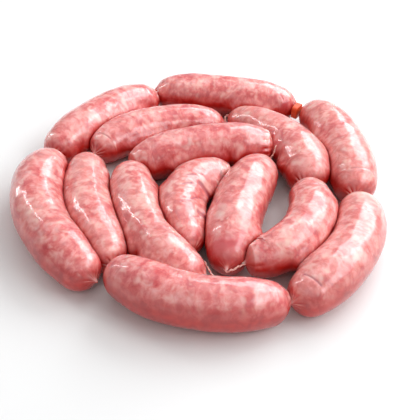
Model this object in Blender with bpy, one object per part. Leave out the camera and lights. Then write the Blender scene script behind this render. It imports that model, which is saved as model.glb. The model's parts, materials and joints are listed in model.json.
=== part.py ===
"""A string of fourteen raw sausage links, laid down in a loose spiral.

Each link is a swept tube of meat: round balls of changing radius on a bent centreline,
blunt at both ends, with a small flat where it lies on the table. Where two links press on
each other they share a flat contact face. Between links the empty casing is twisted into
a thin strand, and beside one of the strands lies a small folded tie.
"""
import math
from collections import namedtuple

import bmesh
import bpy
import numpy as np
from mathutils import Vector

MM = 0.001

# Driving dimensions, millimetres and degrees
GAP = 0.35               # air left between touching solids
REST_FLAT = 0.5          # how far the underside of a link is pressed flat
END_BALL = 0.88          # radius of a link's blunt end, as a part of its body radius
END_EASE = 2.1           # body radii over which a link grows from its end to full girth
END_SLIM = 0.35          # how strongly it slims over that stretch
TIP_RADIUS = 1.8         # flat at each tip, where the casing is gathered
TIP_CLEAR = 1.8          # a tip is pressed back until it is this far from other links
TIP_STEP = 0.1           # by this much at a time
DOME_ROOM = 1.0          # least distance along the link from a tip to the ring behind it
STRAND_RADIUS = 0.9      # twisted casing between two links
FLARE_RADIUS = 1.6       # the same strand where it opens onto a tip
STRAND_STEP = 2.5        # spacing of the rings along a strand
SHORT_STRAND = 7.0       # a strand shorter than this runs straight from tip to tip
TIE_WIDTH = 4.8          # the tie is a folded band, lying beside its strand
TIE_DEPTH = 11.0
TIE_HEIGHT = 11.0
TIE_CORNER = 1.8
TIE_BEVEL = 0.6
TIE_TURN = -15.0         # turned from the line between the two tips
TIE_AT = (-4.2, -6.5, 1.2)     # its middle, from halfway between the two tips
TIE_CORNER_STEPS = 3

SIDES = 14               # corners round a link
STRAND_SIDES = 6
BODY_STEP = 8.0          # spacing of the rings along a link
DOME_ANGLES = (28, 50, 72)   # rings on a blunt end, degrees round the end ball
SAMPLES = 90             # balls used to describe one link
BALL_SPARE = 0.97        # lets the last ball of a link stand a little nearer to its tip
SEARCH_STEPS = 24        # halvings of the distance when the skin is looked for
SEARCH_REACH = 1.2       # how far it is looked for, in largest radii of the link
TANGENT_STEP = 0.5       # half the stretch over which a direction is taken
SETTLE_STEPS = 200       # rounds in which a strand is eased out of the links
SETTLE_PULL = 0.3        # how far each round draws it back to its own bend

Link = namedtuple("Link", "middle heading length bend hook girth lift")

# Along the string, from its outer free end to its inner one. middle: halfway point in plan;
# heading: direction there; bend: turn from end to end; hook: how much of the bend lies
# towards the far end (+) or the near end (-); girth and lift: diameter, and height of the
# underside over the table, at the near and the far end.
LINKS = (
    Link((-118, -67), 115, 140, -84, 0.8, (36, 36), (0, 5)),
    Link((-95, 62), 53, 114, -27, 0.0, (34, 34), (0, 0)),
    Link((4, 110), -3, 117, -8, 0.0, (33, 35), (0, 0)),
    Link((99.6, 48.2), -75, 119, -43, -0.2, (36, 38), (0, 0)),
    Link((97, -77), -115, 125, -64, -0.4, (37, 37), (0, 0)),
    Link((-7, -136), 175, 123, -76, 0.3, (35, 36), (0, 4)),
    Link((-87, -50), 108, 118, -36, 0.7, (33, 33), (0, 0)),
    Link((-51, 57), 28, 112, -54, -0.2, (33, 31), (0, 0)),
    Link((53.6, 49.3), -52.5, 114, -69, 0.7, (29, 42), (0, 0)),
    Link((65.4, -61.0), -116, 105.5, -101, 0.0, (37.5, 31), (4, 4)),
    Link((20, -38.2), 79, 118.5, -20, 0.6, (35.6, 39), (0, 0)),
    Link((-11.8, 26.7), -163, 111.2, 29, 0.0, (34, 36), (8, 0)),
    Link((-47, -63), -67, 133, 56, 1.2, (34, 34), (0, 0)),
    Link((-22, -31), 80, 106, -112, 0.8, (34, 33), (0, 0)),
)
TIED_STRAND = 3          # the tie lies beside the strand after this link

MEAT = (0.80, 0.37, 0.36, 1.0)
CASING = (0.86, 0.66, 0.60, 1.0)
TIE_RED = (0.85, 0.16, 0.04, 1.0)


def material(name, colour, roughness):
    """A plain Principled material with one colour."""
    made = bpy.data.materials.new(name)
    made.use_nodes = True
    shader = made.node_tree.nodes["Principled BSDF"]
    shader.inputs["Base Color"].default_value = colour
    shader.inputs["Roughness"].default_value = roughness
    return made


def unit(vectors):
    """Scale vectors to length one."""
    return vectors / np.linalg.norm(vectors, axis=-1, keepdims=True)


class Tube:
    """One link as a row of balls: centreline, tangents and radii from tip to tip."""

    def __init__(self, link):
        self.length = link.length
        self.at = np.linspace(0, link.length, SAMPLES)
        share = self.at / link.length - 0.5
        turn = math.radians(link.bend) * (share + link.hook * share ** 2)
        angle = math.radians(link.heading) + turn
        step = np.stack([np.cos(angle), np.sin(angle)], axis=1)
        path = np.zeros((SAMPLES, 2))
        path[1:] = np.cumsum((step[1:] + step[:-1]) / 2, axis=0) * (self.at[1] - self.at[0])
        halfway = [np.interp(link.length / 2, self.at, path[:, axis]) for axis in (0, 1)]
        body = np.interp(share, (-0.5, 0.5), link.girth) / 2
        from_end = np.minimum(self.at, link.length - self.at)
        ease = np.clip(1 - from_end / (END_EASE * body), 0, 1)
        self.radius = body * (1 - END_SLIM * ease ** 2)
        lift = np.interp(share, (-0.5, 0.5), link.lift)
        inside = self.ball_centres(from_end)
        height = np.interp(self.at, self.at[inside], (self.radius + lift)[inside]) - REST_FLAT
        self.path = np.column_stack([path - halfway + link.middle, height])
        self.balls = self.path[inside]
        self.ball_radii = self.radius[inside]
        self.end_radius = self.ball_radii[[0, -1]]
        self.end_ball = self.at[inside][[0, -1]]
        self.tips = [ball + sign * math.sqrt(radius ** 2 - TIP_RADIUS ** 2)
                     for ball, sign, radius in zip(self.end_ball, (-1, 1), self.end_radius)]

    def ball_centres(self, from_end):
        """Which samples are far enough from the tips to be the centre of a ball."""
        return from_end >= END_BALL * self.radius * BALL_SPARE

    def point(self, at):
        """Centreline point at a distance along the link, straight on past its ends."""
        inside = min(max(at, 0), self.length)
        here = np.array([np.interp(inside, self.at, self.path[:, axis]) for axis in range(3)])
        last = (self.path[1] - self.path[0]) if at < 0 else (self.path[-1] - self.path[-2])
        return here + (at - inside) * unit(last)

    def tangent(self, at):
        """Direction of the centreline there."""
        return unit(self.point(at + TANGENT_STEP) - self.point(at - TANGENT_STEP))

    def depth(self, points):
        """Distance of points from the tube's skin: negative inside it."""
        away = np.linalg.norm(points[..., None, :] - self.balls, axis=-1)
        return (away - self.ball_radii).min(axis=-1)

    def press(self, others):
        """Move the tips back out of the links that they touch."""
        for end, inward in enumerate((TIP_STEP, -TIP_STEP)):
            while min(other.depth(self.point(self.tips[end])) for other in others) < TIP_CLEAR:
                self.tips[end] += inward

    def stations(self):
        """Distances along the link at which a ring of corners is placed, tip to tip."""
        (near, far), (first, last) = self.end_radius, self.end_ball
        turns = [math.cos(math.radians(angle)) for angle in DOME_ANGLES]
        rings = max(3, round((last - first) / BODY_STEP))
        between = [first + (last - first) * index / rings for index in range(rings + 1)]
        inner = ([first - near * turn for turn in turns] + between
                 + [last + far * turn for turn in reversed(turns)])
        start, end = self.tips
        return [start] + [at for at in inner if start + DOME_ROOM < at < end - DOME_ROOM] + [end]


def reach(tube, others, start, direction, farthest):
    """How far the skin lies from start, stopped by the table and by the links beside it."""
    low = np.zeros(len(direction))
    high = np.full(len(direction), farthest)
    for _ in range(SEARCH_STEPS):
        middle = (low + high) / 2
        points = start + direction * middle[:, None]
        own = tube.depth(points)
        over = np.maximum(own, -points[:, 2])
        for other in others:
            over = np.maximum(over, own - other.depth(points) + GAP)
        outside = over > 0
        high = np.where(outside, middle, high)
        low = np.where(outside, low, middle)
    return low


def link_rings(tube, others):
    """Corner points of every ring of a link."""
    angles = (np.arange(SIDES) + 0.5) * 2 * math.pi / SIDES - math.pi / 2
    rings = []
    for at in tube.stations():
        centre, along = tube.point(at), tube.tangent(at)
        side = unit(np.cross((0, 0, 1), along))
        rise = np.cross(along, side)
        spokes = np.cos(angles)[:, None] * side + np.sin(angles)[:, None] * rise
        out = reach(tube, others, centre, spokes, SEARCH_REACH * tube.radius.max())
        rings.append(centre + spokes * out[:, None])
    return rings


def solid(name, rings, skin):
    """Join rings of corners into one closed mesh object."""
    bm = bmesh.new()
    rows = [[bm.verts.new(corner * MM) for corner in ring] for ring in rings]
    count = len(rows[0])
    for row, following in zip(rows, rows[1:]):
        for index in range(count):
            after = (index + 1) % count
            bm.faces.new((row[index], row[after], following[after], following[index]))
    bm.faces.new(list(reversed(rows[0])))
    bm.faces.new(rows[-1])
    bmesh.ops.triangulate(bm, faces=bm.faces)
    bmesh.ops.recalc_face_normals(bm, faces=bm.faces)
    mesh = bpy.data.meshes.new(name)
    bm.to_mesh(mesh)
    bm.free()
    mesh.shade_smooth()
    mesh.materials.append(skin)
    made = bpy.data.objects.new(name, mesh)
    bpy.context.scene.collection.objects.link(made)
    return made


def settle(path, tubes, clear):
    """Ease a strand out of the links, with its ends held and its bends kept where they can be."""
    bends = path[1:-1] - (path[:-2] + path[2:]) / 2
    for _ in range(SETTLE_STEPS):
        inner = path[1:-1]
        inner += SETTLE_PULL * ((path[:-2] + path[2:]) / 2 + bends - inner)
        for tube in tubes:
            away = inner[:, None, :] - tube.balls
            distance = np.linalg.norm(away, axis=-1)
            sunk = tube.ball_radii + clear - distance
            worst = sunk.argmax(axis=1)
            row = np.arange(len(inner))
            push = np.clip(sunk[row, worst], 0, None)[:, None]
            inner += away[row, worst] / distance[row, worst][:, None] * push
        inner[:, 2] = np.maximum(inner[:, 2], STRAND_RADIUS + GAP)
    return path


def tip_point(tube, far):
    """The middle of the flat on a tip, and the direction out of it."""
    at = tube.tips[1 if far else 0]
    outward = tube.tangent(at) * (1 if far else -1)
    return tube.point(at), outward


def strand_path(start, leaving, end, arriving, tubes):
    """Centreline of the twisted casing from one tip to the next."""
    span = np.linalg.norm(end - start)
    start, end = start + leaving * GAP, end - arriving * GAP
    if span < SHORT_STRAND:
        return np.array([start, (start + end) / 2, end])
    pull = span / 2
    share = np.linspace(0, 1, round(span / STRAND_STEP) + 2)[:, None]
    path = (start * (1 - share) ** 3
            + 3 * (start + leaving * pull) * share * (1 - share) ** 2
            + 3 * (end - arriving * pull) * share ** 2 * (1 - share)
            + end * share ** 3)
    return settle(path, tubes, STRAND_RADIUS + 2 * GAP)


def strand_rings(path, first, last):
    """Rings of a strand that is flared where it meets a tip."""
    along = np.gradient(path, axis=0)
    along[0], along[-1] = first, last
    along = unit(along)
    angles = np.arange(STRAND_SIDES) * 2 * math.pi / STRAND_SIDES
    rings = []
    across = unit(np.cross(along[0], (0, 0, 1)))
    for index, (centre, forward) in enumerate(zip(path, along)):
        across = unit(across - forward * np.dot(across, forward))
        upward = np.cross(forward, across)
        radius = FLARE_RADIUS if index in (0, len(path) - 1) else STRAND_RADIUS
        rings.append(centre + radius * (np.cos(angles)[:, None] * across
                                        + np.sin(angles)[:, None] * upward))
    return rings


def tie_rings(start, end):
    """The tie beside the strand between two tips: a block with rounded edges."""
    heading = math.atan2(*(end - start)[1::-1]) + math.radians(TIE_TURN)
    axis = np.array([math.cos(heading), math.sin(heading), 0])
    across = np.array([-axis[1], axis[0], 0])
    middle = (start + end) / 2 + TIE_AT
    half = TIE_WIDTH / 2
    rings = []
    for along, inset in ((-half, TIE_BEVEL), (TIE_BEVEL - half, 0),
                         (half - TIE_BEVEL, 0), (half, TIE_BEVEL)):
        ring = []
        for corner, (right, up) in enumerate(((1, 1), (-1, 1), (-1, -1), (1, -1))):
            for step in range(TIE_CORNER_STEPS):
                angle = math.pi / 2 * (corner + step / (TIE_CORNER_STEPS - 1))
                out = right * (TIE_DEPTH / 2 - TIE_CORNER) + math.cos(angle) * (TIE_CORNER - inset)
                rise = up * (TIE_HEIGHT / 2 - TIE_CORNER) + math.sin(angle) * (TIE_CORNER - inset)
                ring.append(middle + axis * along + across * out + np.array((0, 0, rise)))
        rings.append(np.array(ring))
    return rings


def centre_on_origin(pieces):
    """Move every piece so that the middle of the whole string's box is over the origin."""
    corners = np.array([vertex.co for piece in pieces for vertex in piece.data.vertices])
    low, high = corners.min(axis=0), corners.max(axis=0)
    shift = Vector((-(low[0] + high[0]) / 2, -(low[1] + high[1]) / 2, 0))
    for piece in pieces:
        piece.location = shift


def main():
    for old in list(bpy.data.objects):
        bpy.data.objects.remove(old)
    meat = material("raw_sausage", MEAT, 0.25)
    casing = material("twisted_casing", CASING, 0.3)
    red = material("folded_tie", TIE_RED, 0.5)

    tubes = [Tube(link) for link in LINKS]
    for number, tube in enumerate(tubes, 1):
        others = [other for other in tubes if other is not tube]
        tube.press(others)
        solid(f"link_{number:02d}", link_rings(tube, others), meat)

    for number, (near, far) in enumerate(zip(tubes, tubes[1:]), 1):
        start, leaving = tip_point(near, True)
        end, outward = tip_point(far, False)
        path = strand_path(start, leaving, end, -outward, tubes)
        solid(f"twist_{number:02d}", strand_rings(path, leaving, -outward), casing)
        if number == TIED_STRAND:
            solid("tie", tie_rings(start, end), red)

    centre_on_origin(list(bpy.context.scene.objects))


if __name__ == "__main__":
    main()
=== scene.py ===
"""A string of fourteen raw sausage links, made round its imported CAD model.

Every link is lofted again from its solid as a dense skin, with round ends, lumps of meat under
the casing, pleats where the casing is gathered at the tips and the marks of each link. The
twisted casing between the links and the folded tie are lofted the same way.
"""
import json
import math
from collections import namedtuple
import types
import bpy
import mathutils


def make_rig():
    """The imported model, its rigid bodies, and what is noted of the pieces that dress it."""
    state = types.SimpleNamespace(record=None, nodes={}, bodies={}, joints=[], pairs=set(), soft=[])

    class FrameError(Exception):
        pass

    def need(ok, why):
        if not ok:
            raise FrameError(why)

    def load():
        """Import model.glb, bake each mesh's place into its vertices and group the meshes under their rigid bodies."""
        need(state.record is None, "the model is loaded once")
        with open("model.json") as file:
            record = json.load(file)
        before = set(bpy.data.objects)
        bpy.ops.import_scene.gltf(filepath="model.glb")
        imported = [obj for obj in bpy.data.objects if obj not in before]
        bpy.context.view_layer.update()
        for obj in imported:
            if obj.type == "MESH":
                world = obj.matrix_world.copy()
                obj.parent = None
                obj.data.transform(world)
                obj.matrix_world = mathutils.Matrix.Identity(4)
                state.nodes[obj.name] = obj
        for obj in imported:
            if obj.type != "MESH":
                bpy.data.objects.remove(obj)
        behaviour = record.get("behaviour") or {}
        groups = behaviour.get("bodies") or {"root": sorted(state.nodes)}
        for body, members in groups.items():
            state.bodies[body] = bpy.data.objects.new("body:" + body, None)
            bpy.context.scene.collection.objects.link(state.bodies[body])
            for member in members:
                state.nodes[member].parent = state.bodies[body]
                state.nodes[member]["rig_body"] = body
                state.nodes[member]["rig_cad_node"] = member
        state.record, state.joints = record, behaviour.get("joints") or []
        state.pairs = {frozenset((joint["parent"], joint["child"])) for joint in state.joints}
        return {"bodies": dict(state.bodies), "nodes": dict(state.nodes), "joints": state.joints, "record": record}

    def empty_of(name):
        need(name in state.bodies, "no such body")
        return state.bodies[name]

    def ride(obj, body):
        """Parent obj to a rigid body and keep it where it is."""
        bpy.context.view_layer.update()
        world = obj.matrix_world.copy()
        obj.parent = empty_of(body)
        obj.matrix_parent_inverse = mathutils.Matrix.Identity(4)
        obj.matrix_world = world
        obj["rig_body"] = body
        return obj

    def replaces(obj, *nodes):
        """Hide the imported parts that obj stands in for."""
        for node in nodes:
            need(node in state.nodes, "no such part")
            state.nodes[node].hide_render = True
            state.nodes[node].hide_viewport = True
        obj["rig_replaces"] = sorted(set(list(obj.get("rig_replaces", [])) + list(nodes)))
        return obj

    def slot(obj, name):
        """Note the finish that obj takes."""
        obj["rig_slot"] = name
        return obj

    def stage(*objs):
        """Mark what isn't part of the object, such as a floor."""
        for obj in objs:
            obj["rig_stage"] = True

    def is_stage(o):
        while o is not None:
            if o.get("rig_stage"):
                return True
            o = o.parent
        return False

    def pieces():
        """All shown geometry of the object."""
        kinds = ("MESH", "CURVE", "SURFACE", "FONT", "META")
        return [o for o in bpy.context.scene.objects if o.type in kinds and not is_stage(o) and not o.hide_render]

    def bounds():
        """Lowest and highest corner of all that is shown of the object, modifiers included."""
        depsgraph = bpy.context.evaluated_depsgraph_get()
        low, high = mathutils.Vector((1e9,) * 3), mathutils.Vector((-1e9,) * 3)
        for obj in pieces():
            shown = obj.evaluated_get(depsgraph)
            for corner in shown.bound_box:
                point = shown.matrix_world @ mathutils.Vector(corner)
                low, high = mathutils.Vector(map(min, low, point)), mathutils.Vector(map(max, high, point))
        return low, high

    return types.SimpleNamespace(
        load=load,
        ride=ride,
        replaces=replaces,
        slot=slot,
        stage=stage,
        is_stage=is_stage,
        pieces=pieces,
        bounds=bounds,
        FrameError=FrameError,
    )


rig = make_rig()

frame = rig.load()
CAD_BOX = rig.bounds()

import bpy
import numpy as np
from bpy.props import FloatProperty, FloatVectorProperty, IntProperty, PointerProperty
from mathutils import Matrix, Vector, noise
from mathutils.bvhtree import BVHTree

bl_info = {
    "name": "Sausage string",
    "version": (1, 0, 0),
    "blender": (4, 5, 0),
    "location": "3D View > Sidebar > Sausages",
    "description": "A string of raw sausage links, lofted round its solid model",
    "category": "Object",
}

MM = 0.001
LINKS = sorted(name for name in frame["nodes"] if name.startswith("link_"))
TWISTS = sorted(name for name in frame["nodes"] if name.startswith("twist_"))
STRANDS = [None] + TWISTS + [None]   # before and after each link; none at a free end
TIP_SLOPE = 0.7           # a flat tip faces no further up or down than this
TIP_PLAY = 0.02 * MM      # faces within this of each other are one flat
BLUNT = 14 * MM           # the centreline of a link runs straight for this far from a tip
FACET_FILL = 1.017        # a skin stands this much wider than the facets of its solid
FACET_WAVES = 7           # waves round a link that are kept when its facets are smoothed out
FACET_RINGS = 4           # rings along it over which they are smoothed
LEVEL = 0.01              # a face whose normal rises by less than this stands upright
CAP_SHARES = (0.2, 0.4, 0.6, 0.75, 0.88, 0.96)   # rings on the ball past a flat tip
CAP_LEAST = 0.3 * MM      # where there is less of the ball, it is left out
CAP_RIM = 1.9 * MM        # no ring on the ball is narrower
# The gathered neck: distances past the ball and radii there, in mm
NECK = ((0.35, 1.8), (0.8, 1.3), (1.5, 1.0), (2.0, 0.8), (2.6, 0.65))

# Marks of single links. at: distance from the near tip in mm; angle: degrees round the link,
# 0 on its left side and 90 on top; both also for the far end of a crease; size in mm
Crease = namedtuple("Crease", "link at angle at_end angle_end depth width")
CREASES = (
    Crease(14, 62, 103, 66, 125, 0.55, 0.8), Crease(14, 69, 126, 71, 136, 0.5, 0.7),
    Crease(14, 51, 105, 55, 127, 0.7, 0.9), Crease(14, 47, 106, 49, 131, 0.4, 0.8),
    Crease(14, 36, 103, 36, 114, 0.4, 0.8), Crease(14, 32, 99, 34, 122, 0.45, 0.8),
    Crease(14, 34, 122, 45, 165, 0.5, 0.9), Crease(14, 20, 118, 22, 138, 0.4, 0.7),
    Crease(14, 62, 150, 62, 200, 0.9, 2.2), Crease(14, 26, 146, 27, 190, 0.8, 2.4),
    Crease(5, 113, 60, 116, 105, 0.6, 1.0), Crease(10, 20, 60, 22, 110, 0.3, 0.8),
    Crease(3, 104, 118, 108, 126, 0.35, 0.7), Crease(8, 9, 60, 11, 120, 0.4, 0.8),
    Crease(4, 106, 60, 108, 110, 0.3, 0.9),
)
# Patches where deep red lean (amount over 0) or pale fat (under 0) lies against the casing
Patch = namedtuple("Patch", "link at angle size amount")
PATCHES = (
    Patch(11, 9, 62, 8, 1.1), Patch(11, 12, 112, 7, 1.0), Patch(3, 110, 150, 5, 0.7),
    Patch(12, 20, 130, 14, 0.5), Patch(9, 70, 160, 16, 0.6), Patch(2, 97, 158, 9, 0.5),
    Patch(14, 24, 95, 5, 0.7), Patch(5, 12, 75, 10, -0.6), Patch(1, 60, 60, 9, -0.4),
    Patch(13, 60, 75, 8, -0.4), Patch(6, 30, 100, 9, 0.4), Patch(8, 100, 150, 8, 0.5),
    Patch(4, 60, 115, 11, 0.45), Patch(7, 40, 110, 10, 0.35), Patch(10, 100, 80, 9, 0.4),
)
# How deep the casing of a link is gathered into folds at its near and far tip, if not 1
GATHERED = {12: (1.5, 1.0), 3: (1.5, 1.2), 9: (1.0, 1.2), 8: (1.0, 1.3), 11: (0.2, 0.7),
            14: (0.5, 0.6), 1: (0.6, 0.8), 6: (0.7, 0.7), 10: (0.8, 0.6)}
# How the mince of each link leans: redder (over 0) or paler
TONES = (0.15, 0.0, 0.05, -0.3, -0.15, 0.3, -0.2, 0.1, -0.25, -0.05, -0.05, 0.2, -0.1, -0.1)


def srgb(text, alpha=None):
    """A hex colour as linear red, green and blue, with alpha where it is asked for."""
    parts = [int(text[at:at + 2], 16) / 255 for at in (1, 3, 5)]
    linear = [part / 12.92 if part <= 0.04045 else ((part + 0.055) / 1.055) ** 2.4
              for part in parts]
    return tuple(linear) + (() if alpha is None else (alpha,))


# ---------------------------------------------------------------- solids and centrelines

class Solid:
    """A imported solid: its corners and faces, and the tree that rays are cast against."""

    def __init__(self, node):
        mesh = frame["nodes"][node].data
        self.corners = np.array([tuple(vertex.co) for vertex in mesh.vertices])
        self.faces = [tuple(face.vertices) for face in mesh.polygons]
        self.normals = np.array([tuple(face.normal) for face in mesh.polygons])
        self.tree = BVHTree.FromPolygons(self.corners.tolist(), self.faces)

    def reach(self, start, towards):
        """Distance from a point inside to the skin."""
        distance = self.tree.ray_cast(Vector(start), Vector(towards))[3]
        if distance is None:
            raise RuntimeError("a ray left its solid without meeting the skin")
        return distance

    def tips(self):
        """Middle and outward direction of the flat tips: the widest fans of faces in one
        plane that look neither up nor down."""
        firsts = self.corners[[face[0] for face in self.faces]]
        offsets = (firsts * self.normals).sum(axis=1)
        planes = {}
        for index, (normal, offset) in enumerate(zip(self.normals, offsets)):
            if abs(normal[2]) < TIP_SLOPE:
                key = (*(normal * 200).round(), (offset / TIP_PLAY).round())
                planes.setdefault(key, []).append(index)
        fans = sorted(planes.values(), key=len)[-2:]
        found = []
        for fan in fans:
            rim = np.unique(self.corners[[c for f in fan for c in self.faces[f]]].round(7), axis=0)
            found.append((rim.mean(axis=0), self.normals[fan[0]]))
        return found


def unit(vectors):
    """Scale vectors to length one."""
    return vectors / np.linalg.norm(vectors, axis=-1, keepdims=True)


def turns_round(count):
    """Angles of evenly spaced corners round a ring."""
    return np.arange(count) * 2 * math.pi / count


def spokes_round(angles, side, rise):
    """Directions out from a ring's middle, for one ring or for many."""
    return (np.cos(angles)[:, None] * side[..., None, :]
            + np.sin(angles)[:, None] * rise[..., None, :])


def section(solid, point, forward, spokes=20):
    """Middle of the solid's section through a point inside it."""
    side = unit(np.cross((0, 0, 1), forward))
    rays = spokes_round(turns_round(spokes), side, np.cross(forward, side))
    rim = np.array([ray * solid.reach(point, ray) for ray in rays])
    after = np.roll(rim, -1, axis=0)
    areas = np.linalg.norm(np.cross(rim, after), axis=1)
    return point + ((rim + after) / 3 * areas[:, None]).sum(axis=0) / areas.sum()


def trace(solid, start, forward, step, stop):
    """Centreline of a tube-shaped solid, from a point inside until the skin is near ahead."""
    line = [start]
    point = start + forward * step
    while True:
        middle = section(solid, point, forward)
        forward = unit(1.5 * forward + unit(middle - line[-1]))
        line.append(middle)
        if solid.reach(middle, forward) < stop:
            return np.array(line)
        point = middle + forward * step


def link_line(solid, before, after):
    """Centreline of a link, from the tip by the strand before it to the one by the strand
    after it. It runs straight through the blunt ends."""
    found = solid.tips()
    straight, crossed = (sum(np.linalg.norm(tip[0] - strand.corners.mean(axis=0))
                             for tip, strand in zip(tips, (before, after)) if strand)
                         for tips in (found, found[::-1]))
    (near, out), (far, far_out) = found if straight < crossed else found[::-1]
    body = trace(solid, near - out * BLUNT, -out, 2 * MM, BLUNT + 5 * MM)
    body = body[np.linalg.norm(body - far, axis=1) > BLUNT + 3 * MM]
    return Line(np.concatenate([[near], body, [far - far_out * BLUNT, far]]), 1.5 * MM, 12)


class Line:
    """A smooth centreline that can be read at any distance along it."""

    def __init__(self, points, spacing, passes):
        at = np.concatenate([[0], np.cumsum(np.linalg.norm(np.diff(points, axis=0), axis=1))])
        count = max(8, round(at[-1] / spacing))
        self.at = np.linspace(0, at[-1], count)
        self.points = np.column_stack([np.interp(self.at, at, column) for column in points.T])
        for _ in range(passes):
            eased = (self.points[:-2] + 2 * self.points[1:-1] + self.points[2:]) / 4
            self.points[1:-1] = eased
        self.length = at[-1]
        self.headings = unit(np.gradient(self.points, axis=0))

    def read(self, at, table):
        """Values of a table at distances along the line, carried straight on past its ends."""
        return np.column_stack([np.interp(at, self.at, column) for column in table.T])

    def centres(self, at):
        """Points on the centreline at distances along it."""
        past = np.clip(at - self.length, 0, None) + np.clip(at, None, 0)
        return self.read(at, self.points) + past[:, None] * self.read(at, self.headings)

    def frames(self, at):
        """Forward, sideways and upward directions at distances along the line."""
        forward = unit(self.read(at, self.headings))
        side = unit(np.cross((0, 0, 1), forward))
        return forward, side, np.cross(forward, side)


# ------------------------------------------------------------------------------ skins

def bumps(points, size, seed):
    """Smooth noise at points in mm, with features about size mm wide, from about -1 to 1."""
    places = points / size + np.array((seed * 7.31, seed * 3.17, seed * 1.73))
    return np.array([noise.fractal(place, 0.8, 2.1, 1) for place in places.tolist()])


def ease_rows(values, width):
    """Smooth a table along its rows without shrinking what it holds."""
    reach = int(4 * width)
    kernel = np.exp(-0.5 * (np.arange(-reach, reach + 1) / width) ** 2)
    kernel /= kernel.sum()

    def once(table):
        padded = np.pad(table, ((reach, reach), (0, 0)), mode="reflect", reflect_type="odd")
        return np.apply_along_axis(lambda row: np.convolve(row, kernel, "valid"), 0, padded)

    blurred = once(values)
    return 2 * blurred - once(blurred)


def ease_round(values, corners):
    """Smooth a table round each ring, so that flats narrower than a facet go."""
    waves = np.fft.rfft(values, axis=1)
    waves *= np.exp(-(np.arange(waves.shape[1]) / corners) ** 4)
    return np.fft.irfft(waves, n=values.shape[1], axis=1)


def skin_normals(grid):
    """Outward direction at every point of a ringed skin."""
    along = np.gradient(grid, axis=0)
    around = np.roll(grid, -1, axis=1) - np.roll(grid, 1, axis=1)
    return unit(np.cross(around, along))


def skin_object(name, grid, finish, grain, fields=()):
    """A closed mesh object from rings of points, with its straightened coordinates in mm as
    grain and other values at its points as fields."""
    rings, sides = grid.shape[:2]
    index = np.arange(rings * sides).reshape(rings, sides)
    after = np.roll(index, -1, axis=1)
    quads = np.stack([index[:-1], after[:-1], after[1:], index[1:]], axis=-1).reshape(-1, 4)
    faces = quads.tolist() + [index[0, ::-1].tolist(), index[-1].tolist()]
    mesh = bpy.data.meshes.new(name)
    mesh.from_pydata(grid.reshape(-1, 3).tolist(), [], faces)
    mesh.shade_smooth()
    mesh.materials.append(finish)
    held = mesh.attributes.new("grain", "FLOAT_VECTOR", "POINT")
    held.data.foreach_set("vector", grain.astype(np.float32).ravel())
    for field, values in dict(fields).items():
        held = mesh.attributes.new(field, "FLOAT", "POINT")
        held.data.foreach_set("value", values.astype(np.float32).ravel())
    mesh.validate()
    made = bpy.data.objects.new(name, mesh)
    bpy.context.scene.collection.objects.link(made)
    return made


def stations(length, radius, dome_rings, spacing):
    """Distances from the near tip at which a ring is placed: close together on the domes."""
    narrowest = 1.8 * MM
    first = math.asin(min(0.9, narrowest / radius))
    turns = np.linspace(first, math.pi / 2, dome_rings)
    dome = radius * (math.cos(first) - np.cos(turns))
    body = length - 2 * dome[-1]
    count = max(4, round(body / spacing))
    middle = dome[-1] + body * np.arange(1, count) / count
    return np.concatenate([dome, middle, (length - dome)[::-1]])


def link_skin(solid, line, sizes):
    """Radii of a link over distance along it and angle round it, free of the solid's facets,
    with the places and directions that they are measured from, and the balls of its ends."""
    angles = turns_round(sizes.sides)
    middle = line.centres(np.array([line.length / 2]))[0]
    rough_radius = solid.reach(middle, line.frames(np.array([line.length / 2]))[1][0])
    dome_radius, inset = 0.88 * rough_radius, 0.05 * MM
    at = stations(line.length, dome_radius, sizes.dome_rings, sizes.ring_spacing * MM)
    at[0], at[-1] = inset, line.length - inset
    _, side, rise = line.frames(at)
    centres = line.centres(at)
    spokes = spokes_round(angles, side, rise)
    radii = np.array([[solid.reach(centre, ray) for ray in rays]
                      for centre, rays in zip(centres, spokes)])
    # What is smoothed is the girth over that of a tube with round ends, so the ends stay round
    profile, balls = 1, []
    for from_tip, tip in ((at, 0), (line.length - at, -1)):
        balls.append(end_ball(from_tip, radii.mean(axis=1), tip))
        ball, inward = balls[-1]
        profile = profile * np.sqrt(ball ** 2 - np.clip(inward - from_tip, 0, None) ** 2) / ball
    share = ease_rows(ease_round(radii / profile[:, None], FACET_WAVES), FACET_RINGS)
    radii = FACET_FILL * profile[:, None] * share
    return at, angles, centres, spokes, radii, balls


def end_ball(from_tip, girths, tip, sample=6 * MM):
    """Radius of the ball that a blunt end is cut from, and how far in from the flat tip its
    centre lies."""
    nearest = np.argmin(np.abs(from_tip - sample))
    away = from_tip[nearest]
    inward = (girths[nearest] ** 2 - girths[tip] ** 2 + away ** 2) / (2 * away)
    return math.hypot(inward, girths[tip]), inward


def crowd_tree(name):
    """What the skin of one link can press on: all the other links."""
    corners, faces = [], []
    for other in LINKS:
        if other != name:
            solid = Solid(other)
            faces += [tuple(corner + len(corners) for corner in face) for face in solid.faces]
            corners += solid.corners.tolist()
    return BVHTree.FromPolygons(corners, faces)


def crowd(grid, rise, name, sizes):
    """How far soft links sag sideways into the narrow gaps between them, below their tops and
    away from their ends."""
    tree, far = crowd_tree(name), sizes.sag_reach * MM
    normals = skin_normals(grid)
    gaps = np.array([[tree.ray_cast(Vector(point), Vector(normal), far)[3] or 0
                      for point, normal in zip(*rows)] for rows in zip(grid, normals)])
    top, side = 0.9, 0.2    # no sag above the top, all of it below the side
    gaps = np.where(rise < top, gaps, 0)
    near = np.clip((far - gaps) / (far / 2), 0, 1)
    low = np.clip((top - rise) / (top - side), 0, 1)
    # Each of the two links fills half of the gap
    sag = np.clip(ease_rows(ease_round(0.5 * gaps * near * low, 9), 3), 0, None)
    from_tip = np.minimum(np.arange(len(sag)), np.arange(len(sag))[::-1])
    ends = 20    # rings at each end that don't sag
    return sag * np.clip(from_tip / ends - 1, 0, 1)[:, None]


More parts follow.
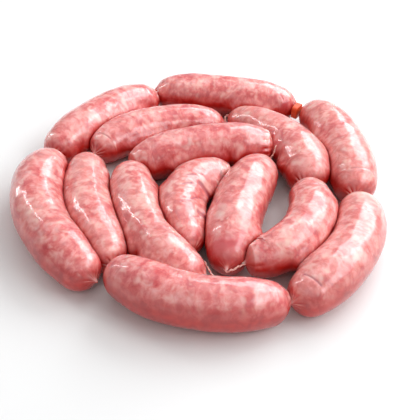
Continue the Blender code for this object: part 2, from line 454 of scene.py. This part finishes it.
def crease_depth(crease, at, turn, radii):
    """Depth of a crease, from 0 to 1, as a groove in the unrolled skin."""
    girth = radii.mean() / MM
    start = np.array((crease.at, math.radians(crease.angle) * girth))
    run = np.array((crease.at_end, math.radians(crease.angle_end) * girth)) - start
    offset = np.stack([at, turn * radii], axis=-1) / MM - start
    share = np.clip(offset @ run / (run @ run), 0, 1)
    away = np.linalg.norm(offset - share[..., None] * run, axis=-1)
    return np.exp(-(away / crease.width) ** 2)


def patch_amount(patch, at, turn, radii):
    """How strongly a patch shows at each point of the skin."""
    along = (at / MM - patch.at) / patch.size
    around = (turn - math.radians(patch.angle)) * radii / MM / patch.size
    return patch.amount * np.exp(-(along ** 2 + around ** 2))


def pleats(angles, distance, seed, count=11):
    """Folds of gathered casing round a tip, as height from 0 down to -1."""
    wander = 0.5 * np.sin(2 * angles + seed) + 0.35 * np.sin(3 * angles + 2.1 * seed)
    swirl = distance[:, None] / (9 * MM)
    phase = count * (angles + 0.25 * wander)[None, :] + swirl + seed
    near = np.exp(-((distance - 3.2 * MM) / (2.6 * MM)) ** 2)
    far = 0.3 * np.exp(-(distance / (9 * MM)) ** 2)
    return -(near + far)[:, None] * (1 - np.abs(np.sin(phase / 2))) ** 1.5


def tip_room(tip, strand, most=4 * MM):
    """How far a link may reach past its tip before it meets the middle of its strand."""
    if strand is None:
        return most
    return min(most, 0.4 * np.linalg.norm(strand.corners - tip, axis=1).max())


def relief(number, place, turn, radii, tips, sizes):
    """Height in mm of the lumps, swells, pleats and creases of a link over its smooth skin,
    how deep in a crease each point lies, and its straightened coordinates in mm. tips:
    distances from the near and from the far tip."""
    grain = np.stack([place, radii * np.cos(turn), radii * np.sin(turn)], axis=-1) / MM
    flat = grain.reshape(-1, 3)
    # Large lumps die away over the last 8 mm before a tip
    calm = np.clip(np.minimum(*tips) / (8 * MM), 0, 1)[:, None]

    def lumps(points, size, seed):
        return bumps(points, size, seed).reshape(radii.shape)

    height = (sizes.lump_height * calm * lumps(flat, 11, number)
              + 0.3 * sizes.lump_height * lumps(flat, 4.5, number + 20)
              + sizes.swell * calm * lumps(flat * (1, 0.3, 0.3), 30, number + 40))
    gathered = GATHERED.get(number, (1, 1))
    for depth, distance, way, seed in zip(gathered, tips, (1, -1), (0, 0.5)):
        height += depth * sizes.pleat_depth * pleats(way * turn[0], distance, number + seed)
    fold = np.zeros_like(height)
    for crease in CREASES:
        if crease.link == number:
            fold += crease.depth * crease_depth(crease, place, turn, radii)
    # The skin rises a little to each gathered tip
    rise = np.clip(np.where(tips[0] < tips[1], *gathered), 0, 1)
    rise = 0.7 * rise * np.exp(-(np.minimum(*tips) / (2.6 * MM)) ** 2)
    return height - fold + rise[:, None], fold, grain


def close_end(middle, way, rim, girth, spokes, ball, room):
    """Rings that close a link past a flat tip: the rest of its ball, as far as there is room,
    and the gathered casing that narrows onto the strand. Ball: its radius, and how far in
    its centre lies."""
    radius, inward = ball
    cap = radius - inward
    rings = []
    for share in CAP_SHARES if cap > CAP_LEAST else ():
        ring = math.sqrt(radius ** 2 - (inward + cap * share) ** 2)
        if ring > CAP_RIM:
            rings.append((cap * share * min(1, room / cap), rim * ring / girth))
    for past, ring in NECK:
        rings.append((min(cap, room) + past * MM * min(1, room / (NECK[-1][0] * MM)),
                      spokes * min(ring * MM, 0.95 * girth)))
    return np.array([middle + way * past + ring for past, ring in rings])


def round_edges(grid, edges, passes=6, reach=5):
    """Ease the rings near the edges of the flat tips into each other."""
    index = np.arange(len(grid))
    soft = sum(np.clip(2 - np.abs(index - edge) / reach, 0, 1) for edge in edges)
    for _ in range(passes):
        eased = (grid[:-2] + 2 * grid[1:-1] + grid[2:]) / 4
        grid[1:-1] += soft[1:-1, None, None] * (eased - grid[1:-1])


def make_link(name, before, after, finish, sizes):
    """One link: its skin with lumps, pleats and creases, closed by round ends with a gathered
    neck at each strand."""
    number = int(name[-2:])
    solid = Solid(name)
    strands = [Solid(strand) if strand else None for strand in (before, after)]
    line = link_line(solid, *strands)
    at, angles, centres, spokes, radii, balls = link_skin(solid, line, sizes)
    grid = centres[:, None] + spokes * radii[:, :, None]
    grid += skin_normals(grid) * crowd(grid, np.sin(angles), name, sizes)[:, :, None]

    steps = np.linalg.norm(np.diff(grid, axis=0), axis=2).mean(axis=1)
    from_near = np.concatenate([[0], np.cumsum(steps)])
    tips = (from_near, from_near[-1] - from_near)
    place = at[:, None] + 0 * radii
    turn = np.mod(angles + math.pi / 2, 2 * math.pi)[None, :] - math.pi / 2 + 0 * radii
    height, fold, grain = relief(number, place, turn, radii, tips, sizes)
    grid += skin_normals(grid) * (height * MM)[:, :, None]

    ends = []
    for tip, ball, strand in zip((0, -1), balls, strands):
        middle = grid[tip].mean(axis=0)
        ends.append(close_end(middle, line.headings[tip] * (1 if tip else -1),
                              grid[tip] - middle, radii[tip].mean(), spokes[tip], ball,
                              tip_room(line.points[tip], strand)))
    front, back = len(ends[0]), len(ends[1])
    grid = np.concatenate([ends[0][::-1], grid, ends[1]])
    round_edges(grid, (front, len(grid) - 1 - back))
    grid[:, :, 2] = np.maximum(grid[:, :, 2], 0)

    lean = sum((patch_amount(patch, place, turn, radii) for patch in PATCHES
                if patch.link == number), 0.5 * TONES[number - 1] + 0 * radii)
    # The grain of each link starts 60 mm further on, so no two show the same mince
    grain = np.concatenate([[grain[0]] * front, grain, [grain[-1]] * back]) + number * 60
    pad = ((front, back), (0, 0))
    fields = {"tip_distance": np.pad(np.minimum(*tips)[:, None] + 0 * radii, pad) / MM,
              "lean": np.pad(lean, pad, "edge"), "fold": np.pad(fold, pad, "edge")}
    made = skin_object(f"sausage_{number:02d}", grid, finish, grain, fields)
    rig.ride(made, "root")
    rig.replaces(made, name)
    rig.slot(made, "sausage")
    return made


def strand_points(solid, start, step=1.6 * MM):
    """Middles of a thin solid's corners at steps of distance over its skin from one end."""
    places, merged = np.unique(solid.corners.round(6), axis=0, return_inverse=True)
    sides = np.array([(merged[face[k - 1]], merged[face[k]])
                      for face in solid.faces for k in range(len(face))])
    sides = np.concatenate([sides, sides[:, ::-1]])
    lengths = np.linalg.norm(places[sides[:, 0]] - places[sides[:, 1]], axis=1)
    away = np.linalg.norm(places - start, axis=1)
    travel = np.where(away < away.min() + 0.8 * MM, 0, np.inf)
    for _ in range(len(places)):
        np.minimum.at(travel, sides[:, 1], travel[sides[:, 0]] + lengths)
    steps = (travel / step).round()
    return np.array([places[steps == at].mean(axis=0) for at in np.unique(steps)[1:]])


def make_strand(piece, name, tips, finish, sizes):
    """Empty casing twisted into a strand of plies, entering the gathered necks of the two
    tips that it joins."""
    (start, outward), (end, end_out) = tips
    inside, outside = 0.4 * MM, 0.8 * MM
    points = [point for point in strand_points(Solid(name), start)
              if np.linalg.norm(point - end) > 1.5 * MM]
    points = np.array([start - outward * inside, start + outward * outside, *points,
                       end + end_out * outside, end - end_out * inside])
    line = Line(points, 0.3 * MM, 3)
    at = line.at
    _, side, rise = line.frames(at)
    angles = turns_round(18)
    twist = at[:, None] * 2 * math.pi / (sizes.twist_pitch * MM)
    # Two plies swell the strand on opposite sides
    radii = sizes.strand_radius * MM * (1 + 0.25 * np.cos(2 * angles - twist))
    grid = line.centres(at)[:, None] + spokes_round(angles, side, rise) * radii[:, :, None]
    grain = np.stack([at[:, None] + 0 * radii, radii * np.cos(angles - twist),
                      radii * np.sin(angles - twist)], axis=-1) / MM
    made = skin_object(piece, grid, finish, grain)
    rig.ride(made, "root")
    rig.replaces(made, name)
    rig.slot(made, "casing")
    return made


def make_tie(name, finish, sizes):
    """A flat band folded over on itself into a small block, with its layers showing."""
    solid = Solid(name)
    low, high = solid.corners.min(axis=0), solid.corners.max(axis=0)
    middle, up = (low + high) / 2, np.array((0, 0, 1))
    axis = solid.normals[largest_upright_face(solid)]
    beside = np.cross(up, axis)
    offsets = solid.corners - middle
    half, deep = (np.abs(offsets @ way).max() for way in (axis, beside))
    tall = (high - low)[2] / 2
    # The outline round the layers is nearly a rectangle
    angles, squareness = turns_round(96), 5
    cosines, sines = np.cos(angles)[:, None], np.sin(angles)[:, None]
    rounding = (np.abs(cosines) ** squareness + np.abs(sines) ** squareness) ** (-1 / squareness)
    outline = rounding * (cosines * deep * beside + sines * tall * up)
    # The edge of each layer stands proud of the grooves between them, and both ends are worn
    shares, worn_from = np.linspace(-1, 1, 41), 0.86
    layers = np.abs(np.sin(math.pi * sizes.tie_layers * (shares + 1) / 2))
    worn = np.clip((np.abs(shares) - worn_from) / (1 - worn_from), 0, None) ** 2
    scales = 1 - 0.1 * worn - 0.035 * (1 - np.sqrt(layers))
    shares, scales = np.pad(shares, 1, "edge"), np.pad(scales, 1, constant_values=0.2)
    grid = middle + shares[:, None, None] * half * axis + scales[:, None, None] * outline
    made = skin_object("folded_tie", grid, finish, (grid - middle) / MM)
    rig.ride(made, "root")
    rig.replaces(made, name)
    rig.slot(made, "tie")
    return made


def largest_upright_face(solid):
    """Index of the largest face that stands upright."""
    first, second, third = (solid.corners[[face[k] for face in solid.faces]] for k in range(3))
    areas = np.linalg.norm(np.cross(second - first, third - first), axis=1) / 2
    return np.argmax(np.where(np.abs(solid.normals[:, 2]) > LEVEL, 0, areas))


# --------------------------------------------------------------------------- finishes

def add(tree, kind, links=(), values=(), stops=(), **settings):
    """Add a shader node: its settings, socket values, ramp stops and what feeds its sockets."""
    made = tree.nodes.new(kind)
    for key, value in settings.items():
        setattr(made, key, value)
    for socket, value in dict(values).items():
        made.inputs[socket].default_value = value
    for socket, source in dict(links).items():
        tree.links.new(source, made.inputs[socket])
    if stops:
        ramp = made.color_ramp
        while len(ramp.elements) < len(stops):
            ramp.elements.new(0.5)
        for element, (place, colour) in zip(ramp.elements, stops):
            element.position, element.color = place, colour
    return made


def new_finish(name):
    """A material and its node tree, emptied."""
    made = bpy.data.materials.new(name)
    made.use_nodes = True
    tree = made.node_tree
    tree.nodes.clear()
    return made, tree


def raw_pork_in_casing():
    """Coarsely minced raw pork filled into wet natural casing: lean and fat show through a
    thin milky film, light sinks some millimetres into the meat and comes out redder, and the
    wet skin shines."""
    made, tree = new_finish("raw_pork_in_wet_casing")
    grain = add(tree, "ShaderNodeAttribute", attribute_name="grain").outputs["Vector"]
    tip = add(tree, "ShaderNodeAttribute", attribute_name="tip_distance").outputs["Fac"]
    # Mince comes off an 8 mm plate and is smeared a little round the link by the filling horn
    smear = add(tree, "ShaderNodeVectorMath", {0: grain}, {1: (1.0, 0.8, 0.8)},
                operation="MULTIPLY").outputs["Vector"]
    drift = add(tree, "ShaderNodeTexNoise", {"Vector": smear}, {"Scale": 1 / 9.0, "Detail": 2.0})
    bend = add(tree, "ShaderNodeVectorMath", {0: drift.outputs["Color"]}, {1: (0.5, 0.5, 0.5)},
               operation="SUBTRACT").outputs["Vector"]
    bend = add(tree, "ShaderNodeVectorMath", {0: bend}, {"Scale": 7.0},
               operation="SCALE").outputs["Vector"]
    place = add(tree, "ShaderNodeVectorMath", {0: smear, 1: bend},
                operation="ADD").outputs["Vector"]
    lean = add(tree, "ShaderNodeTexNoise", {"Vector": place},
               {"Scale": 1 / 7.0, "Detail": 4.0, "Roughness": 0.6}).outputs["Fac"]
    meat = add(tree, "ShaderNodeValToRGB", {"Fac": lean},
               stops=((0.34, srgb("#c84048", 1)), (0.45, srgb("#dd6766", 1)),
                      (0.55, srgb("#ec928f", 1)), (0.68, srgb("#f6bdb4", 1)))).outputs["Color"]
    # Bits of fat and of deep red lean, 4 to 7 mm across, blurred by the casing over them.
    # Each kind keeps to its own parts of the mince
    for size, seed, low, high, share, shade in (
            (5.5, 0.0, 0.05, 0.60, 0.55, "#fce2d8"), (3.6, 40.0, 0.05, 0.55, 0.55, "#f9d0c4"),
            (4.2, 80.0, 0.05, 0.58, 0.55, "#c43844"), (6.5, 120.0, 0.05, 0.60, 0.25, "#cfa0a0")):
        shifted = add(tree, "ShaderNodeVectorMath", {0: place}, {1: (seed, seed, seed)},
                      operation="ADD").outputs["Vector"]
        bit = add(tree, "ShaderNodeTexVoronoi", {"Vector": shifted},
                  {"Scale": 1 / size, "Smoothness": 0.7, "Randomness": 1.0},
                  feature="SMOOTH_F1").outputs["Distance"]
        bit = add(tree, "ShaderNodeMapRange", {"Value": bit},
                  {"From Min": low, "From Max": high, "To Min": 1.0, "To Max": 0.0},
                  interpolation_type="SMOOTHSTEP").outputs["Result"]
        where = add(tree, "ShaderNodeTexNoise", {"Vector": shifted},
                    {"Scale": 0.5 / size, "Detail": 1.0}).outputs["Fac"]
        where = add(tree, "ShaderNodeMapRange", {"Value": where},
                    {"From Min": 0.46, "From Max": 0.62, "To Min": 0.0, "To Max": share},
                    interpolation_type="SMOOTHSTEP").outputs["Result"]
        bit = add(tree, "ShaderNodeMath", {0: bit, 1: where}, operation="MULTIPLY").outputs[0]
        meat = add(tree, "ShaderNodeMix", {"Factor": bit, "A": meat}, {"B": srgb(shade, 1)},
                   data_type="RGBA").outputs["Result"]
    # Whole links and single places where there is more lean, or more fat
    more = add(tree, "ShaderNodeAttribute", attribute_name="lean").outputs["Fac"]
    for low, high, shade in ((0.0, 1.0, "#c9253c"), (0.0, -1.0, "#f9d8c8")):
        amount = add(tree, "ShaderNodeMapRange", {"Value": more},
                     {"From Min": low, "From Max": high, "To Min": 0.0, "To Max": 0.9}).outputs[0]
        meat = add(tree, "ShaderNodeMix", {"Factor": amount, "A": meat}, {"B": srgb(shade, 1)},
                   data_type="RGBA").outputs["Result"]
    # Film of casing, milkier in broad patches and where it is gathered at the tips
    film = add(tree, "ShaderNodeTexNoise", {"Vector": grain},
               {"Scale": 1 / 22.0, "Detail": 3.0}).outputs["Fac"]
    film = add(tree, "ShaderNodeMapRange", {"Value": film},
               {"From Min": 0.3, "From Max": 0.7, "To Min": 0.02, "To Max": 0.24}).outputs[0]
    gather = add(tree, "ShaderNodeMapRange", {"Value": tip},
                 {"From Min": 0.5, "From Max": 4.0, "To Min": 0.45, "To Max": 0.0}).outputs[0]
    film = add(tree, "ShaderNodeMath", {0: film, 1: gather}, operation="ADD").outputs[0]
    colour = add(tree, "ShaderNodeMix", {"Factor": film, "A": meat}, {"B": srgb("#f3c3bb", 1)},
                 data_type="RGBA").outputs["Result"]
    # Painted shade: the further a face turns from looking straight up, the more its colour is multiplied
    # by deep red, standing in for the darker, redder shade on the lower sides; faces looking up keep the meat's colour
    facing = add(tree, "ShaderNodeNewGeometry").outputs["Normal"]
    facing = add(tree, "ShaderNodeSeparateXYZ", {"Vector": facing}).outputs["Z"]
    painted_shade_below = add(tree, "ShaderNodeMapRange", {"Value": facing},
                  {"From Min": 0.0, "From Max": 0.88, "To Min": 1.0, "To Max": 0.0},
                  interpolation_type="SMOOTHSTEP").outputs["Result"]
    colour = add(tree, "ShaderNodeMix", {"Factor": painted_shade_below, "A": colour},
                 {"B": srgb("#d03a2c", 1)}, data_type="RGBA",
                 blend_type="MULTIPLY").outputs["Result"]
    # Painted shade in the creases: the deeper a point lies in a crease, the more its colour goes to dark mauve
    fold = add(tree, "ShaderNodeAttribute", attribute_name="fold").outputs["Fac"]
    fold = add(tree, "ShaderNodeMapRange", {"Value": fold},
               {"From Min": 0.05, "From Max": 0.5, "To Min": 0.0, "To Max": 0.75}).outputs[0]
    colour = add(tree, "ShaderNodeMix", {"Factor": fold, "A": colour}, {"B": srgb("#b4525f", 1)},
                 data_type="RGBA").outputs["Result"]
    soft = add(tree, "ShaderNodeTexNoise", {"Vector": place},
               {"Scale": 1 / 3.0, "Detail": 3.0, "Roughness": 0.55}).outputs["Fac"]
    bump = add(tree, "ShaderNodeBump", {"Height": soft}, {"Strength": 0.25, "Distance": 0.3 * MM})
    gloss = add(tree, "ShaderNodeMapRange", {"Value": soft},
                {"From Min": 0.3, "From Max": 0.7, "To Min": 0.36, "To Max": 0.52}).outputs[0]
    shader = add(tree, "ShaderNodeBsdfPrincipled",
                 {"Base Color": colour, "Roughness": gloss, "Normal": bump.outputs["Normal"]},
                 {"IOR": 1.33, "Subsurface Weight": 0.7, "Subsurface Radius": (1.0, 0.22, 0.15),
                  "Subsurface Scale": 6 * MM, "Coat Weight": 1.0, "Coat Roughness": 0.14,
                  "Coat IOR": 1.6})
    add(tree, "ShaderNodeOutputMaterial", {"Surface": shader.outputs["BSDF"]})
    return made


def twisted_casing():
    """Natural casing with no filling, wrung into a cord: a pale, slightly see-through skin
    that turns pink where the plies lie on each other, and shines like wet string."""
    made, tree = new_finish("wet_natural_casing_twisted")
    grain = add(tree, "ShaderNodeAttribute", attribute_name="grain").outputs["Vector"]
    # Folds of the skin, 1 mm apart
    folds = add(tree, "ShaderNodeTexNoise", {"Vector": grain},
                {"Scale": 1.0, "Detail": 2.0}).outputs["Fac"]
    colour = add(tree, "ShaderNodeValToRGB", {"Fac": folds},
                 stops=((0.35, srgb("#d98c83", 1)), (0.6, srgb("#f0c0b4", 1)))).outputs["Color"]
    gloss = add(tree, "ShaderNodeMapRange", {"Value": folds},
                {"To Min": 0.2, "To Max": 0.45}).outputs[0]
    bump = add(tree, "ShaderNodeBump", {"Height": folds}, {"Strength": 0.3, "Distance": 0.2 * MM})
    shader = add(tree, "ShaderNodeBsdfPrincipled",
                 {"Base Color": colour, "Roughness": gloss, "Normal": bump.outputs["Normal"]},
                 {"IOR": 1.4, "Subsurface Weight": 0.8, "Subsurface Radius": (1.0, 0.6, 0.5),
                  "Subsurface Scale": 1 * MM, "Coat Weight": 0.6, "Coat Roughness": 0.15})
    add(tree, "ShaderNodeOutputMaterial", {"Surface": shader.outputs["BSDF"]})
    return made


def dyed_band():
    """Dyed polypropylene band, rolled and folded: orange-red with a dull sheen and fine lines
    along it, redder where light has to come through the layers."""
    made, tree = new_finish("dyed_polypropylene_band_folded")
    grain = add(tree, "ShaderNodeAttribute", attribute_name="grain").outputs["Vector"]
    fibre = add(tree, "ShaderNodeTexNoise", {"Vector": grain},
                {"Scale": 1.6, "Detail": 3.0, "Distortion": 0.6}).outputs["Fac"]
    colour = add(tree, "ShaderNodeValToRGB", {"Fac": fibre},
                 stops=((0.3, srgb("#d8330f", 1)), (0.7, srgb("#f4692c", 1)))).outputs["Color"]
    rough = add(tree, "ShaderNodeMapRange", {"Value": fibre},
                {"To Min": 0.4, "To Max": 0.65}).outputs[0]
    bump = add(tree, "ShaderNodeBump", {"Height": fibre}, {"Strength": 0.5, "Distance": 0.2 * MM})
    shader = add(tree, "ShaderNodeBsdfPrincipled",
                 {"Base Color": colour, "Roughness": rough, "Normal": bump.outputs["Normal"]},
                 {"IOR": 1.5, "Coat Weight": 0.3, "Coat Roughness": 0.3})
    add(tree, "ShaderNodeOutputMaterial", {"Surface": shader.outputs["BSDF"]})
    return made


def pale_floor():
    """Matt white board, painted: plain and pale, so the meat's own colour shows."""
    made, tree = new_finish("matt_white_board_painted")
    place = add(tree, "ShaderNodeTexCoord").outputs["Object"]
    tone = add(tree, "ShaderNodeTexNoise", {"Vector": place}, {"Scale": 6.0}).outputs["Fac"]
    colour = add(tree, "ShaderNodeValToRGB", {"Fac": tone},
                 stops=((0.3, srgb("#e9e8e7", 1)), (0.7, srgb("#edeceb", 1)))).outputs["Color"]
    shader = add(tree, "ShaderNodeBsdfPrincipled", {"Base Color": colour},
                 {"Roughness": 0.6, "IOR": 1.45})
    add(tree, "ShaderNodeOutputMaterial", {"Surface": shader.outputs["BSDF"]})
    return made


# ------------------------------------------------------------------------------ stage

Lamp = namedtuple("Lamp", "name azimuth elevation distance width height radiance tint")
# azimuth: degrees from +Y towards +X; sizes in metres; radiance in W per m2 per sr
LAMPS = (
    Lamp("softbox", 34, 38, 1.3, 1.0, 0.75, 4.7, (0.94, 0.98, 1.0)),
    Lamp("window", 76, 42, 1.3, 0.85, 0.75, 3.0, (0.94, 0.98, 1.0)),
    Lamp("side window", 116, 42, 1.3, 0.6, 0.55, 3.6, (0.94, 0.98, 1.0)),
    Lamp("overhead", 0, 76, 1.4, 1.3, 0.8, 1.1, (1.0, 0.99, 0.98)),
    Lamp("strip", -61, 24, 1.2, 0.05, 0.95, 16.0, (1.0, 1.0, 1.0)),
    Lamp("front fill", 190, 40, 1.6, 1.8, 0.9, 0.6, (1.0, 0.97, 0.94)),
)


def make_lamp(lamp, target):
    """A soft rectangular light at a bearing from the object, facing it."""
    turn, tilt = math.radians(lamp.azimuth), math.radians(lamp.elevation)
    away = Vector((math.sin(turn) * math.cos(tilt), math.cos(turn) * math.cos(tilt),
                   math.sin(tilt)))
    light = bpy.data.lights.new(lamp.name, "AREA")
    light.shape = "RECTANGLE"
    light.size, light.size_y = lamp.width, lamp.height
    light.energy = lamp.radiance * math.pi * lamp.width * lamp.height
    light.color = lamp.tint
    made = bpy.data.objects.new(lamp.name, light)
    made.location = target + away * lamp.distance
    made.rotation_mode = "QUATERNION"
    made.rotation_quaternion = (-away).to_track_quat("-Z", "Y")
    bpy.context.scene.collection.objects.link(made)


def make_camera(target, sizes):
    """The camera in front and above, tipped a little, aimed near the middle of the spiral."""
    tilt, roll = sizes.camera_elevation, sizes.camera_roll
    back = Vector((0, -math.cos(tilt), math.sin(tilt)))
    up = Vector((0, math.sin(tilt), math.cos(tilt)))
    right = Vector((1, 0, 0))
    level = right * math.cos(roll) - up * math.sin(roll)
    upright = right * math.sin(roll) + up * math.cos(roll)
    camera = bpy.data.cameras.new("camera")
    camera.sensor_width = 36
    camera.lens = sizes.camera_lens
    made = bpy.data.objects.new("camera", camera)
    turn = Matrix((level, upright, back)).transposed().to_4x4()
    made.matrix_world = Matrix.Translation(target + back * sizes.camera_distance) @ turn
    bpy.context.scene.collection.objects.link(made)
    bpy.context.scene.camera = made


# ------------------------------------------------------------- settings and operators

class SausageLinkSettings(bpy.types.PropertyGroup):
    sides: IntProperty(name="Sides", description="Corners round a link", default=84, min=24)
    dome_rings: IntProperty(name="Dome rings", description="Rings on each blunt end",
                            default=26, min=8)
    ring_spacing: FloatProperty(name="Ring spacing (mm)",
                                description="Distance between rings along a link", default=0.65)
    lump_height: FloatProperty(name="Lump height (mm)",
                               description="How far minced meat pushes the casing out",
                               default=0.36)
    swell: FloatProperty(name="Swell (mm)", description="Slow changes of girth along a link",
                         default=0.6)
    sag_reach: FloatProperty(name="Sag reach (mm)",
                             description="Widest gap that two soft links sag into", default=11.0)
    pleat_depth: FloatProperty(name="Pleat depth (mm)",
                               description="Depth of the folds gathered at a tip", default=0.6)


class SausageCasingSettings(bpy.types.PropertyGroup):
    strand_radius: FloatProperty(name="Strand radius (mm)",
                                 description="Half the thickness of the twisted casing",
                                 default=0.6)
    twist_pitch: FloatProperty(name="Twist pitch (mm)",
                               description="Length of one turn of the twisted casing",
                               default=3.6)
    tie_layers: IntProperty(name="Tie layers", description="Layers of band in the folded tie",
                            default=3, min=1)


class SausageStageSettings(bpy.types.PropertyGroup):
    camera_elevation: FloatProperty(name="Camera elevation", subtype="ANGLE",
                                    description="Height of the camera over the horizon",
                                    default=math.radians(39.6))
    camera_roll: FloatProperty(name="Camera roll", subtype="ANGLE",
                               description="Tip of the camera about its own axis",
                               default=math.radians(-4.66))
    camera_distance: FloatProperty(name="Camera distance", unit="LENGTH",
                                   description="From the camera to the point it aims at",
                                   default=0.65875)
    camera_lens: FloatProperty(name="Camera lens (mm)", description="Focal length of the lens",
                               default=890 * 36 / 420)
    camera_aim: FloatVectorProperty(name="Camera aim", subtype="XYZ", unit="LENGTH",
                                    description="Aim point from the middle of the underside",
                                    default=(0.0086, -0.0087, 0.0))
    floor_width: FloatProperty(name="Floor width", unit="LENGTH", description="Side of the floor",
                               default=12.0)


class SAUSAGE_OT_links(bpy.types.Operator):
    """Loft the fourteen links, with lumps of meat and pleated tips"""
    bl_idname = "sausage.links"
    bl_label = "Make links"

    def execute(self, context):
        sizes = context.scene.sausage_links
        finish = raw_pork_in_casing()
        for link, before, after in zip(LINKS, STRANDS, STRANDS[1:]):
            make_link(link, before, after, finish, sizes)
        return {"FINISHED"}


class SAUSAGE_OT_strands(bpy.types.Operator):
    """Loft the twisted casing between the links"""
    bl_idname = "sausage.strands"
    bl_label = "Make twisted casing"

    def execute(self, context):
        sizes = context.scene.sausage_casing
        finish = twisted_casing()
        strands = [Solid(name) if name else None for name in STRANDS]
        lines = [link_line(Solid(link), *pair)
                 for link, pair in zip(LINKS, zip(strands, strands[1:]))]
        near = [(line.points[0], -line.headings[0]) for line in lines]
        far = [(line.points[-1], line.headings[-1]) for line in lines]
        for name, tips in zip(TWISTS, zip(far, near[1:])):
            make_strand(f"casing_{name}", name, tips, finish, sizes)
        return {"FINISHED"}


class SAUSAGE_OT_tie(bpy.types.Operator):
    """Fold the tie beside its strand"""
    bl_idname = "sausage.tie"
    bl_label = "Make tie"

    def execute(self, context):
        sizes = context.scene.sausage_casing
        make_tie("tie", dyed_band(), sizes)
        return {"FINISHED"}


class SAUSAGE_OT_stage(bpy.types.Operator):
    """Lay the floor and set up the camera and the lights"""
    bl_idname = "sausage.stage"
    bl_label = "Make stage"

    def execute(self, context):
        sizes = context.scene.sausage_stage
        low, high = CAD_BOX
        foot = Vector(((low.x + high.x) / 2, (low.y + high.y) / 2, low.z))
        half = sizes.floor_width / 2
        mesh = bpy.data.meshes.new("floor")
        corners = [(foot.x + x * half, foot.y + y * half, foot.z)
                   for x, y in ((-1, -1), (1, -1), (1, 1), (-1, 1))]
        mesh.from_pydata(corners, [], [(0, 1, 2, 3)])
        mesh.materials.append(pale_floor())
        floor = bpy.data.objects.new("floor", mesh)
        context.scene.collection.objects.link(floor)
        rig.stage(floor)
        make_camera(foot + Vector(sizes.camera_aim), sizes)
        for lamp in LAMPS:
            make_lamp(lamp, foot)
        world = bpy.data.worlds.new("studio")
        world.use_nodes = True
        sky = world.node_tree.nodes["Background"]
        sky.inputs["Color"].default_value = (0.98, 0.98, 1.0, 1)
        sky.inputs["Strength"].default_value = 0.4
        context.scene.world = world
        context.scene.view_settings.view_transform = "Standard"
        return {"FINISHED"}


class SAUSAGE_PT_panel(bpy.types.Panel):
    """The steps that make the sausage string"""
    bl_idname = "SAUSAGE_PT_panel"
    bl_label = "Sausage string"
    bl_space_type = "VIEW_3D"
    bl_region_type = "UI"
    bl_category = "Sausages"

    def draw(self, context):
        for name, step in GROUPS:
            box = self.layout.box()
            group = getattr(context.scene, name, None)
            for key in group.bl_rna.properties.keys() if group else ():
                if key not in ("name", "rna_type"):
                    box.prop(group, key)
            for operator in step:
                box.operator(operator)


GROUPS = (("sausage_links", ("sausage.links",)),
          ("sausage_casing", ("sausage.strands", "sausage.tie")),
          ("sausage_stage", ("sausage.stage",)))
CLASSES = (SausageLinkSettings, SausageCasingSettings, SausageStageSettings, SAUSAGE_OT_links,
           SAUSAGE_OT_strands, SAUSAGE_OT_tie, SAUSAGE_OT_stage, SAUSAGE_PT_panel)


def register():
    for made in CLASSES:
        bpy.utils.register_class(made)
    for (name, _), kind in zip(GROUPS, CLASSES):
        setattr(bpy.types.Scene, name, PointerProperty(type=kind))


def unregister():
    for name, _ in GROUPS:
        delattr(bpy.types.Scene, name)
    for made in reversed(CLASSES):
        bpy.utils.unregister_class(made)


def main():
    register()
    bpy.ops.sausage.links()
    bpy.ops.sausage.strands()
    bpy.ops.sausage.tie()
    bpy.ops.sausage.stage()
    boxes = {"cad": [list(corner) for corner in CAD_BOX],
             "visual": [list(corner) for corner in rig.bounds()]}
    with open("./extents.json", "w") as file:
        json.dump(boxes, file)


if __name__ == "__main__":
    main()
